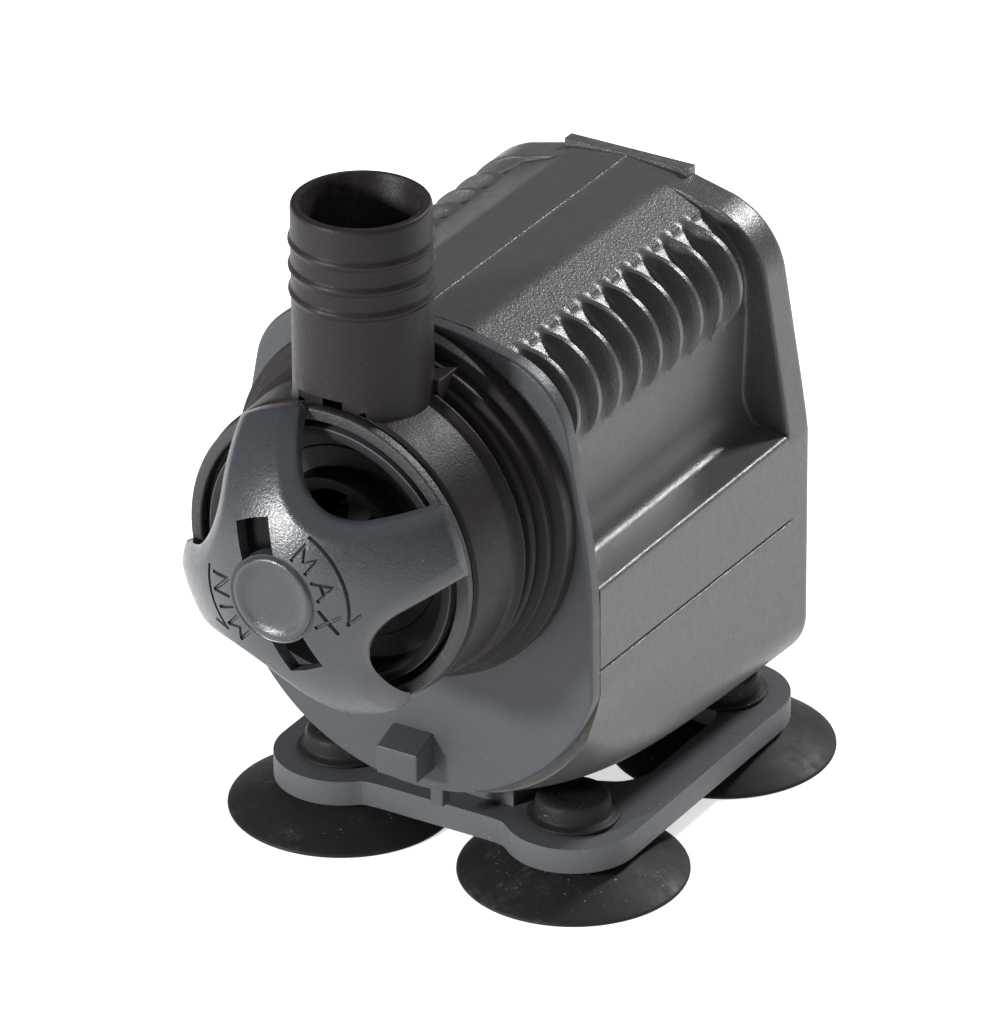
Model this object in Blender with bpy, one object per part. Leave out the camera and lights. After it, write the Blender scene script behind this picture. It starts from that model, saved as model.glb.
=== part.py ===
"""Submersible aquarium water pump with a flow dial, a hose outlet and four suction feet.

Every size below is in millimetres and is turned into metres when a mesh is made. The datum empty sits on
the front face of the motor block, above the floor that the feet stand on: +X is to the right as the dial
is faced, -Y is the intake end and +Z is up. The rotor and the dial turn about one horizontal axis, AXIS_Z
above the floor.
"""

import math

import bmesh
import bpy
from mathutils import Vector

MM = 0.001
GAP = 0.3  # left between pieces that touch on the real pump
FULL_TURN = 2 * math.pi
SMOOTH_ANGLE = math.radians(32)

# Motor block: outline in X and Z, measured up from the floor.
AXIS_Z = 62.6
BODY_HALF = 30.2
BODY_REAR = 63.8
BODY_BOTTOM = 13.3
BELLY_R, BELLY_Z = 31.6, 45.8  # the round front edge below the dial
REAR_CORNER = 8.0
LEDGE_Z = 53.6
CORNER_X, CORNER_Z, CORNER_R = 13.5, 76.0, 12.8
CROWN_Z, CROWN_X = 91.0, 17.2
CROWN_DROP = 2.6
PLATE_THICK = 2.5
WALL = 2.2
COVER_THICK = 2.6
GLAND_Z, GLAND_HOLE_R = 24.0, 4.2

# Side recess and cooling ribs.
RECESS_X = 22.3
RECESS_END = 57.4
SHOULDER_X, SHOULDER_Z, SHOULDER_R = 16.2, 78.9, 8.8
RIB_COUNT, RIB_PITCH, RIB_FIRST = 9, 5.8, 5.6
RIB_WIDTH, SLOT_DEPTH = 2.2, 3.0

# Latch hook and peg on the front plate.
HOOK_HALF, HOOK_REACH = 3.4, 4.7
PEG_LOW, PEG_HIGH = 11.8, 16.0

# Pump chamber and outlet, with stations measured forward from the motor block's front face.
CHAMBER_FRONT = 20.7
BARREL_R = 23.6
SEAT_R = 20.6
VOLUTE_R = 18.0
NOZZLE_Y = -12.4
NOZZLE_R, NOZZLE_BORE = 10.1, 8.6
NOZZLE_TOP = 114.7
NOZZLE_FLOOR = AXIS_Z + SEAT_R + 1.6
BEAD_HEIGHTS, BEAD_RISE = (101.2, 105.0, 109.0), 0.4
GRILLE_LOW, GRILLE_HIGH = 14.5, 16.5
COLLAR_R = 11.6
WINDOW_IN, WINDOW_OUT = 4.8, 9.0

# Rotor and its well, with stations measured back from the motor block's front face.
WELL_BORE, WELL_WALL, WELL_END = 8.2, 1.0, 45.0
WELL_FLANGE_R = 15.0
SHAFT_R, BEARING_GAP = 1.5, 0.1
MAGNET_IN, MAGNET_R = 3.2, 7.4
BLADE_COUNT, BLADE_R = 6, 15.2

# Stator: two legs standing on a yoke, with a coil on each.
CORE_FRONT, CORE_REAR = 13.0, 35.0
LEG_X, LEG_HALF = 14.2, 4.2
YOKE_LOW, YOKE_HIGH = 20.0, 27.0
TIP_LOW, TIP_HIGH = 47.0, 78.0
COIL_LOW, COIL_HIGH = 27.4, 45.6
RIM_THICK = 1.0

# Dial.
DOME_R, DOME_TIP, DOME_EDGE = 28.0, 38.2, 24.2
DOME_THICK = 2.0
ARM_COUNT = 4
ARM_ANGLE = math.radians(22)
OPENING_R, OPENING_OUT = 12.6, 25.9

# Base and feet.
BASE_LOW, BASE_HIGH = 5.0, 9.0
FOOT_X, FOOT_FRONT, FOOT_REAR = 19.87, 12.22, 55.99
CUP_R = 17.26
LOBE_R = 10.3
BUTTON_TOP = 13.0

# The origin is below the middle of the whole pump, from the dial's tip to the rear cups' edge.
MIDDLE_Y = (FOOT_REAR + CUP_R - DOME_TIP) / 2

HOUSING = ((0.095, 0.093, 0.088), 0.42)
SLATE = ((0.100, 0.107, 0.116), 0.45)
DARK = ((0.040, 0.034, 0.034), 0.40)
BASE_GREY = ((0.075, 0.080, 0.085), 0.50)
RUBBER = ((0.018, 0.018, 0.019), 0.65)
CERAMIC = ((0.80, 0.79, 0.75), 0.25)
MAGNET = ((0.045, 0.045, 0.048), 0.40)
COPPER = ((0.45, 0.17, 0.06), 0.35, 1.0)
STEEL = ((0.34, 0.34, 0.35), 0.40, 1.0)
NYLON = ((0.75, 0.73, 0.66), 0.50)
RESIN = ((0.050, 0.052, 0.050), 0.30)


def clear_scene():
    for old in list(bpy.data.objects):
        bpy.data.objects.remove(old, do_unlink=True)


def empty(name, parent=None, at=(0, 0, 0), turn=(0, 0, 0)):
    """An empty that others hang from, placed in millimetres."""
    axis = bpy.data.objects.new(name, None)
    axis.empty_display_size = 0.01
    axis.location = Vector(at) * MM
    axis.rotation_euler = turn
    axis.parent = parent
    bpy.context.scene.collection.objects.link(axis)
    return axis


def finish_of(name, finish):
    colour, roughness, metallic = (*finish, 0.0)[:3]
    material = bpy.data.materials.new(name)
    material.use_nodes = True
    shader = material.node_tree.nodes["Principled BSDF"]
    shader.inputs["Base Color"].default_value = (*colour, 1)
    shader.inputs["Roughness"].default_value = roughness
    shader.inputs["Metallic"].default_value = metallic
    material.diffuse_color = (*colour, 1)
    return material


def add(name, shape, finish, parent, at=(0, 0, 0), turn=(0, 0, 0)):
    """One object from (points, faces) in millimetres, closed and facing out."""
    points, faces = shape
    mesh = bpy.data.meshes.new(name)
    mesh.from_pydata([Vector(point) * MM for point in points], [], faces)
    work = bmesh.new()
    work.from_mesh(mesh)
    bmesh.ops.recalc_face_normals(work, faces=work.faces)
    work.to_mesh(mesh)
    work.free()
    mesh.shade_smooth()
    mesh.set_sharp_from_angle(angle=SMOOTH_ANGLE)
    piece = bpy.data.objects.new(name, mesh)
    piece.data.materials.append(finish_of(name, finish))
    piece.location = Vector(at) * MM
    piece.rotation_euler = turn
    piece.parent = parent
    bpy.context.scene.collection.objects.link(piece)
    return piece


def helper(piece, name, shape, parent, operation, at=(0, 0, 0), turn=(0, 0, 0)):
    """A hidden solid that a Boolean modifier cuts from piece, or adds to it.

    The chamber's tube, bore and port meet in long thin faces that only the MANIFOLD solver keeps closed.
    """
    tool = add(name, shape, DARK, parent, at, turn)
    tool.hide_render = True
    tool.display_type = "WIRE"
    modifier = piece.modifiers.new(name, "BOOLEAN")
    modifier.operation = operation
    modifier.solver = "MANIFOLD" if piece.name == "pump_chamber" else "EXACT"
    modifier.object = tool
    return tool


def cut(piece, name, shape, parent, at=(0, 0, 0), turn=(0, 0, 0)):
    return helper(piece, name, shape, parent, "DIFFERENCE", at, turn)


def join(piece, name, shape, parent, at=(0, 0, 0), turn=(0, 0, 0)):
    return helper(piece, name, shape, parent, "UNION", at, turn)


# ---- shapes: each returns (points, faces) in millimetres ----


def loft(loops, closed_ring=False):
    """Skin over loops of equal length. The ends are capped, or the last loop joins the first."""
    count = len(loops[0])
    points = [point for loop in loops for point in loop]
    faces = []
    for row in range(len(loops) if closed_ring else len(loops) - 1):
        here, there = row * count, (row + 1) % len(loops) * count
        for k in range(count):
            after = (k + 1) % count
            faces.append((here + k, here + after, there + after, there + k))
    if not closed_ring:
        faces.append(tuple(range(count)))
        faces.append(tuple(range(len(points) - count, len(points))))
    return points, faces


def turned(profile, steps):
    """Profile of (radius, height) spun about local Z. Both ends on the axis, or a closed ring."""
    solid = profile[0][0] == 0
    rings = profile[1:-1] if solid else profile
    points = []
    for radius, height in rings:
        for k in range(steps):
            angle = FULL_TURN * k / steps
            points.append((radius * math.cos(angle), radius * math.sin(angle), height))
    faces = []
    for row in range(len(rings) - 1 if solid else len(rings)):
        here, there = row * steps, (row + 1) % len(rings) * steps
        for k in range(steps):
            after = (k + 1) % steps
            faces.append((here + k, here + after, there + after, there + k))
    if solid:
        for tip, row in ((profile[0], 0), (profile[-1], len(rings) - 1)):
            points.append((0, 0, tip[1]))
            for k in range(steps):
                faces.append((len(points) - 1, row * steps + (k + 1) % steps, row * steps + k))
    return points, faces


def ring(inner, outer, low, high, steps):
    return turned([(inner, low), (outer, low), (outer, high), (inner, high)], steps)


def disc(radius, low, high, steps):
    return turned([(0, low), (radius, low), (radius, high), (0, high)], steps)


def prism(outline, low, high):
    """Flat outline of (x, y) raised from low to high along local Z."""
    return loft([[(x, y, z) for x, y in outline] for z in (low, high)])


def box(low, high):
    corners = [(low[0], low[1]), (high[0], low[1]), (high[0], high[1]), (low[0], high[1])]
    return prism(corners, low[2], high[2])


def arc(centre_x, centre_y, radius, start, end, steps):
    """Points on an arc, with angles in degrees."""
    found = []
    for k in range(steps + 1):
        angle = math.radians(start + (end - start) * k / steps)
        found.append((centre_x + radius * math.cos(angle), centre_y + radius * math.sin(angle)))
    return found


def mirrored(half):
    """A closed outline from its right half, which runs from the bottom centre to the top centre."""
    return half + [(-x, z) for x, z in reversed(half[1:-1])]


def blend(a, b, part):
    return tuple(p + (q - p) * part for p, q in zip(a, b))


# ---- motor block ----


def underside(y, inset, steps=6):
    """Bottom centre to the side: round at the front, and a flat floor with two corners at the rear."""
    side_z = BELLY_Z - math.sqrt(BELLY_R**2 - BODY_HALF**2)
    low_angle = math.degrees(math.atan2(side_z - BELLY_Z, BODY_HALF))
    front = arc(0, BELLY_Z, BELLY_R - inset, -90, low_angle, steps)
    flat_end = BODY_HALF - REAR_CORNER
    corner = arc(flat_end, BODY_BOTTOM + REAR_CORNER, REAR_CORNER - inset, -90, 0, steps - 2)
    rear = [(0, BODY_BOTTOM + inset)] + corner + [(BODY_HALF - inset, side_z)]
    front_share = 0.8 * math.exp(-y / 11) + 0.2 * (1 - y / BODY_REAR)
    return [blend(b, f, front_share) for f, b in zip(front, rear)]


def block_half(y, recess, slot, inset=0.0):
    """Right half of a section: recess and slot run from 0, the plain outline, to 1, the full cut."""
    ledge_rise = 2.0 * inset
    plain = [(BODY_HALF - inset, LEDGE_Z - 1 - ledge_rise), (29.9 - inset, LEDGE_Z + 1.5)]
    plain += [(29.3 - inset, 59.0), (28.9 - inset, 61.5)]
    waisted = [(BODY_HALF - inset, LEDGE_Z - ledge_rise), (25.6 - inset, 55.3 - ledge_rise)]
    waisted += [(RECESS_X - inset, 57.8 - ledge_rise / 2), (RECESS_X - inset, 62.0)]
    plain += arc(CORNER_X, CORNER_Z, CORNER_R - inset, 8, 73, 5)
    swell = arc(SHOULDER_X, SHOULDER_Z, SHOULDER_R - inset, -42, 95, 5)
    dug = arc(SHOULDER_X, SHOULDER_Z, SHOULDER_R - SLOT_DEPTH - inset, -42, 95, 5)
    shares = (0, 0.8, 1, 1, 0.8, 0)
    waisted += [blend(s, d, slot * share) for s, d, share in zip(swell, dug, shares)]
    half = underside(y, inset)
    half += [blend(p, w, recess) for p, w in zip(plain, waisted)]
    middle_x = CROWN_X / 2
    half += [(middle_x, CROWN_Z - CROWN_DROP / 4 - inset), (0, CROWN_Z - inset)]
    return half


def block_loop(y, recess=0.0, slot=0.0, inset=0.0):
    return [(x, y, z) for x, z in mirrored(block_half(y, recess, slot, inset))]


def rib_stations():
    """(y, slot) pairs along the block: a slot on each side of every rib."""
    front = PLATE_THICK + GAP
    stations = [(front, 1.0)]
    for k in range(RIB_COUNT):
        middle = RIB_FIRST + k * RIB_PITCH
        for edge in (-1, 1):
            top = middle + edge * RIB_WIDTH * 0.3
            foot = middle + edge * RIB_WIDTH * 0.75
            stations += [(foot, 1.0), (top, 0.0)] if edge < 0 else [(top, 0.0), (foot, 1.0)]
    return stations + [(RECESS_END - 1.6, 1.0)]


def make_motor_housing(datum):
    """The moulded case: a shell open at both ends, with its side recesses and ribs."""
    pocket_y = BODY_REAR - 3.6
    outside = [block_loop(y, 1, slot) for y, slot in rib_stations()]
    outside += [block_loop(y) for y in (RECESS_END, BODY_REAR - 1.0)]
    outside.append(block_loop(BODY_REAR, inset=0.8))
    inside = [block_loop(BODY_REAR, inset=WALL), block_loop(pocket_y, inset=WALL)]
    depths = (pocket_y - 0.3, 30.0, 12.0, PLATE_THICK + GAP)
    inside += [block_loop(y, 1, 1, WALL) for y in depths]
    housing = add("motor_housing", loft(outside + inside, closed_ring=True), HOUSING, datum)
    tab = box((-10.6, BODY_REAR - 2.4, 88.9), (10.6, BODY_REAR - 0.4, 91.2))
    join(housing, "rear_tab", tab, datum)


def make_rear_cover(datum):
    back = BODY_REAR - 0.6
    loops = [block_loop(y, inset=WALL + GAP) for y in (back - COVER_THICK, back)]
    cover = add("rear_cover", loft(loops), HOUSING, datum)
    gland_hole = disc(GLAND_HOLE_R, -5, 5, 24)
    cut(cover, "gland_hole", gland_hole, datum, (0, BODY_REAR, GLAND_Z), (math.pi / 2, 0, 0))


def make_cable_gland(datum):
    """Rubber grommet where the supply lead would enter, with a blind lead bore."""
    profile = [(0, -4.2), (6.2, -4.2), (6.2, -3.6), (3.9, -3.6), (3.9, 0), (5.6, 0), (5.6, 1.6)]
    profile += [(4.0, 6.4), (3.0, 6.8), (2.9, 1.0), (0, 1.0)]
    gland = turned(profile, 16)
    add("cable_gland", gland, RUBBER, datum, (0, BODY_REAR - 0.3, GLAND_Z), (-math.pi / 2, 0, 0))


def plate_outline():
    """Outline of the front plate, a little finer than the block behind it."""
    side_z = BELLY_Z - math.sqrt(BELLY_R**2 - BODY_HALF**2)
    low_angle = math.degrees(math.atan2(side_z - BELLY_Z, BODY_HALF))
    half = arc(0, BELLY_Z, BELLY_R, -90, low_angle, 9)
    half += [(BODY_HALF, LEDGE_Z - 1), (29.5, 60.0), (27.7, 69.5)]
    half += arc(CORNER_X, CORNER_Z, CORNER_R, 8, 73, 6)
    half += [(CROWN_X / 2, CROWN_Z - CROWN_DROP / 4), (0, CROWN_Z)]
    return mirrored(half)


def make_front_plate(datum):
    """Cover of the motor block: the well's hole, the latch hook and a peg down to the base."""
    flat = loft([[(x, y, z) for x, z in plate_outline()] for y in (0, PLATE_THICK)])
    plate = add("front_plate", flat, SLATE, datum)
    hole = disc(WELL_FLANGE_R + GAP, -5, 5, 40)
    cut(plate, "well_hole", hole, datum, (0, 0, AXIS_Z), (math.pi / 2, 0, 0))
    side = [(0.5, 17.8), (-HOOK_REACH, 17.8), (-HOOK_REACH, 22.3), (0.5, 24.1)]
    hook = loft([[(x, y, z) for y, z in side] for x in (-HOOK_HALF, HOOK_HALF)])
    join(plate, "latch_hook", hook, datum)
    join(plate, "locating_peg", box((2.7, 0.2, PEG_LOW), (4.8, 2.3, PEG_HIGH)), datum)


# ---- pump chamber ----


def barrel_profile():
    """Outer side from the front rim back to the flange, then the volute and the cover's seat."""
    outer = [(BARREL_R - 0.5, CHAMBER_FRONT), (BARREL_R, CHAMBER_FRONT - 0.5), (BARREL_R + 0.3, 10.6)]
    outer += [(24.9, 9.8), (24.9, 8.6), (24.2, 8.2), (24.2, 6.6), (26.2, 6.0), (26.2, 4.4)]
    outer += [(25.6, 4.0), (25.6, 3.0), (27.7, 2.6), (27.7, GAP)]
    inner = [(23.0, GAP), (23.0, 1.7), (20.0, 1.7), (20.0, GAP), (VOLUTE_R, GAP)]
    inner += [(VOLUTE_R, 14.2), (SEAT_R, 14.2), (SEAT_R, CHAMBER_FRONT)]
    return outer + inner


def make_pump_chamber(datum, shaft):
    """Volute with its threaded-looking collar rings and the upright outlet, in one moulding."""
    chamber = add("pump_chamber", turned(barrel_profile(), 44), DARK, shaft)
    root_z = AXIS_Z + SEAT_R + 0.5
    tube = [(0, root_z), (NOZZLE_R, root_z)]
    for bead_z in BEAD_HEIGHTS:
        tube += [(NOZZLE_R, bead_z - 0.6), (NOZZLE_R + BEAD_RISE, bead_z)]
        tube += [(NOZZLE_R, bead_z + 0.6)]
    tube += [(NOZZLE_R, NOZZLE_TOP - 0.7), (NOZZLE_R - 0.5, NOZZLE_TOP), (0, NOZZLE_TOP)]
    join(chamber, "outlet_tube", turned(tube, 28), datum, (0, NOZZLE_Y, 0))
    lug = box((3.0, -8.9, 83.0), (10.4, -2.8, 87.3))
    join(chamber, "lug", lug, datum)
    front_room = ring(SEAT_R - 1, DOME_EDGE + 1.0, CHAMBER_FRONT + 0.05, 30, 44)
    cut(chamber, "dial_room", front_room, shaft)
    bore = disc(NOZZLE_BORE, NOZZLE_FLOOR, NOZZLE_TOP + 5, 28)
    cut(chamber, "outlet_bore", bore, datum, (0, NOZZLE_Y, 0))
    port = box((-6.2, NOZZLE_Y + 0.7, AXIS_Z + 14), (6.2, -4.6, NOZZLE_FLOOR + 1.1))
    cut(chamber, "volute_port", port, datum)


def make_chamber_seal(shaft):
    """O-ring in the groove behind the chamber."""
    section = arc(21.5, 0.95, 0.6, 0, 300, 5)
    add("chamber_seal", turned(section, 28), RUBBER, shaft)


def sector(start, end):
    """Window between two radii, as an outline with angles in degrees."""
    return arc(0, 0, WINDOW_OUT, start, end, 5) + arc(0, 0, WINDOW_IN, end, start, 4)


def cut_windows(piece, shaft, low, high, turn=0.0):
    for k in range(ARM_COUNT):
        start = turn + 90 * k - 31
        cut(piece, f"{piece.name}_window_{k}", prism(sector(start, start + 62), low, high), shaft)


def make_intake_cover(shaft):
    """Closes the volute: a floor with four windows, a collar round them and the front bush's socket."""
    profile = [(0, 17.3), (4.2, 17.3), (4.2, GRILLE_HIGH), (10.0, GRILLE_HIGH), (10.0, 21.0)]
    profile += [(COLLAR_R, 21.0), (COLLAR_R, GRILLE_HIGH), (18.7, GRILLE_HIGH), (18.7, 22.2)]
    profile += [(20.2, 22.2), (20.2, GRILLE_LOW), (4.2, GRILLE_LOW), (4.2, 13.1)]
    profile += [(3.0, 13.1), (3.0, 16.3), (0, 16.3)]
    cover = add("intake_cover", turned(profile, 32), SLATE, shaft)
    cut_windows(cover, shaft, 13.0, 20.0, 20.0)


# ---- rotor and its well ----


def make_rotor_well(shaft):
    """Thin cup that keeps the water out of the windings, with a flange in the front plate's hole."""
    outer = WELL_BORE + WELL_WALL
    profile = [(0, -WELL_END), (outer, -WELL_END), (outer, -2.4), (WELL_FLANGE_R, -2.4)]
    profile += [(WELL_FLANGE_R, -0.3), (WELL_BORE, -0.3), (WELL_BORE, 1.2 - WELL_END)]
    profile.append((0, 1.2 - WELL_END))
    add("rotor_well", turned(profile, 32), HOUSING, shaft)


def make_bearings(shaft):
    """Fixed ceramic shaft with a bush at each end."""
    add("rotor_shaft", disc(SHAFT_R, -43.0, 15.7, 16), CERAMIC, shaft)
    bore = SHAFT_R + BEARING_GAP
    add("front_bush", ring(bore, 2.7, 13.3, 15.9, 16), RUBBER, shaft)
    add("rear_bush", ring(bore, WELL_BORE - GAP, -43.4, -40.0, 16), RUBBER, shaft)


def make_rotor(rotor_axis):
    """Magnet, bearing sleeve and impeller, which spin together on the shaft."""
    sleeve = ring(SHAFT_R + BEARING_GAP, MAGNET_IN - GAP, -38.8, 12.4, 20)
    add("rotor_sleeve", sleeve, NYLON, rotor_axis)
    add("rotor_magnet", ring(MAGNET_IN, MAGNET_R, -38.0, -2.6, 28), MAGNET, rotor_axis)
    impeller = add("impeller", ring(MAGNET_IN, BLADE_R + 0.4, 2.0, 3.2, 32), DARK, rotor_axis)
    join(impeller, "impeller_hub", ring(MAGNET_IN, 5.2, -2.2, 11.9, 24), rotor_axis)
    blade = box((4.4, -0.6, 2.6), (BLADE_R, 0.6, 11.9))
    for k in range(BLADE_COUNT):
        turn = (0, 0, FULL_TURN * k / BLADE_COUNT)
        join(impeller, f"blade_{k}", blade, rotor_axis, turn=turn)


# ---- stator ----


def make_stator_core(datum):
    """U-shaped stack of laminations, whose pole tips wrap round the rotor's well."""
    inner, outer = LEG_X - LEG_HALF, LEG_X + LEG_HALF
    well_r = WELL_BORE + WELL_WALL + GAP
    half_gap = 2.0
    edge = math.degrees(math.asin(half_gap / well_r))
    side = [(0, YOKE_LOW), (outer, YOKE_LOW), (outer, TIP_HIGH - 5), (outer - 5, TIP_HIGH)]
    side += [(half_gap, TIP_HIGH)]
    side += arc(0, AXIS_Z, well_r, 90 - edge, edge - 90, 12)
    side += [(half_gap, TIP_LOW), (inner, TIP_LOW - 1), (inner, YOKE_HIGH), (0, YOKE_HIGH)]
    loops = [[(x, y, z) for x, z in mirrored(side)] for y in (CORE_FRONT, CORE_REAR)]
    add("stator_core", loft(loops), STEEL, datum)


def frame_loop(half_x, y_low, y_high, z):
    """One level of a bobbin or winding: a rectangle round the leg."""
    return [(-half_x, y_low, z), (half_x, y_low, z), (half_x, y_high, z), (-half_x, y_high, z)]


def make_coils(datum):
    """A bobbin and its winding on each leg of the core."""
    for side, side_x in (("left", -LEG_X), ("right", LEG_X)):
        sizes = ((LEG_HALF + GAP, 0), (LEG_HALF + 1.3, 1.0), (LEG_HALF + 5.2, 4.9))
        hole, tube, rim = [(half, CORE_FRONT - GAP - out, CORE_REAR + GAP + out) for half, out in sizes]
        rim_low, rim_high = COIL_LOW + RIM_THICK, COIL_HIGH - RIM_THICK
        spool = [(hole, COIL_LOW), (rim, COIL_LOW), (rim, rim_low), (tube, rim_low)]
        spool += [(tube, rim_high), (rim, rim_high), (rim, COIL_HIGH), (hole, COIL_HIGH)]
        loops = [frame_loop(*size, z) for size, z in spool]
        add(f"coil_bobbin_{side}", loft(loops, closed_ring=True), NYLON, datum, (side_x, 0, 0))
        inner = (tube[0] + GAP, tube[1] - GAP, tube[2] + GAP)
        outer = (rim[0] - 0.5, rim[1] + 0.5, rim[2] - 0.5)
        low, high = rim_low + GAP, rim_high - GAP
        wound = ((inner, low), (outer, low), (outer, high), (inner, high))
        loops = [frame_loop(*size, z) for size, z in wound]
        add(f"coil_winding_{side}", loft(loops, closed_ring=True), COPPER, datum, (side_x, 0, 0))


def make_resin_fill(datum):
    """Potting behind the stator, which seals the lead's entry."""
    half = [(0, 17.5), (20, 17.5), (25, 22), (27, 36), (27, 48), (19, 50), (19, 78), (12, 82), (0, 84)]
    loops = [[(x, y, z) for x, z in mirrored(half)] for y in (46.0, 58.5)]
    add("resin_fill", loft(loops), RESIN, datum)


# ---- dial ----


def make_dial_cap(dial_axis):
    """Domed four-armed cap: a turned shell with a rounded opening cut between each pair of arms."""
    centre = DOME_TIP - DOME_R
    inner_r = DOME_R - DOME_THICK
    profile = [(0, DOME_TIP - 0.5), (6.0, DOME_TIP - 0.7), (7.0, DOME_TIP - 0.6)]
    for radius in (8.0, 12.0, 16.0, 19.5, 22.3, DOME_EDGE):
        profile.append((radius, centre + math.sqrt(DOME_R**2 - radius**2)))
    profile.append((DOME_EDGE, 22.9))
    for radius in (22.0, 18.0, 13.0, 7.0):
        profile.append((radius, centre + math.sqrt(inner_r**2 - radius**2)))
    profile.append((0, DOME_TIP - DOME_THICK))
    cap = add("dial_cap", turned(profile, 40), SLATE, dial_axis)
    for k in range(ARM_COUNT):
        middle = ARM_ANGLE + math.radians(45 + 90 * k)
        at = (OPENING_OUT * math.cos(middle), OPENING_OUT * math.sin(middle), 0)
        cut(cap, f"arm_opening_{k}", disc(OPENING_R, 15, 45, 32), dial_axis, at)
    for k in (1, 3):
        window = box((7.2, -2.8, 25), (12.4, 2.8, 45))
        cut(cap, f"cap_window_{k}", window, dial_axis, turn=(0, 0, ARM_ANGLE + math.radians(90 * k)))


def make_dial_ring(dial_axis):
    """Slate ring that the arms sit on, turning in front of the chamber's rim."""
    profile = [(21.3, CHAMBER_FRONT + GAP), (23.2, CHAMBER_FRONT + GAP), (23.2, 22.2)]
    profile += [(22.9, 22.6), (21.3, 22.6)]
    add("dial_ring", turned(profile, 44), SLATE, dial_axis)


def make_dial_shutter(dial_axis):
    """Disc with four windows that opens or covers the intake, on the dial's stem."""
    profile = [(0, 17.6), (9.6, 17.6), (9.6, 18.8), (3.0, 18.8), (3.0, 34.1), (0, 34.1)]
    shutter = add("dial_shutter", turned(profile, 32), SLATE, dial_axis)
    cut_windows(shutter, dial_axis, 16.0, 20.5, 20.0)


# ---- base ----


def base_outline():
    """Plate outline seen from above, with a lobe round each foot."""
    half = [(0, 5.5)]
    half += arc(FOOT_X, FOOT_FRONT, LOBE_R, -130, 0, 7)
    half += arc(FOOT_X, FOOT_REAR, LOBE_R, 0, 120, 7)
    half += [(11.5, 63.4), (0, 63.4)]
    return mirrored(half)


def base_opening():
    half = [(0, 20.5), (12.0, 20.5), (21.0, 24.5), (23.2, 28.0), (23.2, 49.0), (21.0, 51.5), (8.0, 53.5)]
    half.append((0, 53.5))
    return mirrored(half)


def make_base_plate(datum):
    """Flat base with a large opening and two pads that the block sits on."""
    base = add("base_plate", prism(base_outline(), BASE_LOW, BASE_HIGH), BASE_GREY, datum)
    cut(base, "base_opening", prism(base_opening(), 0, 20), datum)
    for name, low_y, high_y in (("front_pad", 10.0, 17.0), ("rear_pad", 56.0, 62.0)):
        join(base, name, box((-11, low_y, 7), (11, high_y, 12.9)), datum)
    for name, foot_x, foot_y in feet():
        cut(base, f"hole_{name}", disc(3.6, 0, 20, 20), datum, (foot_x, foot_y, 0))


def feet():
    for end, foot_y in (("front", FOOT_FRONT), ("rear", FOOT_REAR)):
        for side, foot_x in (("left", -FOOT_X), ("right", FOOT_X)):
            yield f"{end}_{side}", foot_x, foot_y


def cup_profile():
    """Dished underside out to the flat rim, up the skirt and the neck, and over the button."""
    rim_in = CUP_R - 1.5
    profile = [(0, 2.9), (10.0, 1.9), (rim_in, 0), (CUP_R, 0), (CUP_R - 0.1, 0.7)]
    profile += [(12.0, 2.8), (7.0, BASE_LOW - GAP), (3.3, BASE_LOW - GAP)]
    profile += [(3.3, BASE_HIGH + GAP), (7.0, BASE_HIGH + GAP), (7.0, 10.0), (5.6, 10.4)]
    profile += [(5.4, BUTTON_TOP - 0.7), (4.6, BUTTON_TOP), (0, BUTTON_TOP)]
    return profile


def make_suction_cups(datum):
    for name, foot_x, foot_y in feet():
        cup = turned(cup_profile(), 20)
        add(f"suction_cup_{name}", cup, RUBBER, datum, (foot_x, foot_y, 0))


def main():
    clear_scene()
    datum = empty("datum", at=(0, -MIDDLE_Y, 0))
    forward = (math.pi / 2, 0, 0)
    shaft = empty("shaft_axis", datum, (0, 0, AXIS_Z), forward)
    rotor_axis = empty("rotor_axis", datum, (0, 0, AXIS_Z), forward)
    dial_axis = empty("dial_axis", datum, (0, 0, AXIS_Z), forward)
    make_motor_housing(datum)
    make_rear_cover(datum)
    make_cable_gland(datum)
    make_front_plate(datum)
    make_pump_chamber(datum, shaft)
    make_chamber_seal(shaft)
    make_intake_cover(shaft)
    make_rotor_well(shaft)
    make_bearings(shaft)
    make_rotor(rotor_axis)
    make_stator_core(datum)
    make_coils(datum)
    make_resin_fill(datum)
    make_dial_cap(dial_axis)
    make_dial_ring(dial_axis)
    make_dial_shutter(dial_axis)
    make_base_plate(datum)
    make_suction_cups(datum)


main()
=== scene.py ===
import math

import bmesh
import bpy
import numpy as np
from mathutils import Matrix, Vector


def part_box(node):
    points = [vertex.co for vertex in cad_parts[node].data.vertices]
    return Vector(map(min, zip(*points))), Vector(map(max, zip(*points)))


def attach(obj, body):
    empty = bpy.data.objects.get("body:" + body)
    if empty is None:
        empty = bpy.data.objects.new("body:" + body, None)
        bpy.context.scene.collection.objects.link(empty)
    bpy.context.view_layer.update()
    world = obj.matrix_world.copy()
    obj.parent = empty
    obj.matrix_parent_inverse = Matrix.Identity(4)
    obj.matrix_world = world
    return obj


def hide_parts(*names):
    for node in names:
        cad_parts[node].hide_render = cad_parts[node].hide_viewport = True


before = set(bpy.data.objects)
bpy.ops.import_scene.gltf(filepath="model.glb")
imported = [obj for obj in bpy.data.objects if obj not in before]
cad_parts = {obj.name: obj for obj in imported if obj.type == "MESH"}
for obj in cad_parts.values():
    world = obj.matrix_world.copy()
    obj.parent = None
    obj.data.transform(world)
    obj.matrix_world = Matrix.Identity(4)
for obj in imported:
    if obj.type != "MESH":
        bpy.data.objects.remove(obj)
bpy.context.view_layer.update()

# Sizes are in millimetres, from the floor up and from the motor block's front face back. Stations are
# measured forward from that face, along the rotor's axis.
MM = 0.001
GAP = 0.3  # left between pieces that touch on the real pump
AXIS_Z = 62.6
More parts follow.
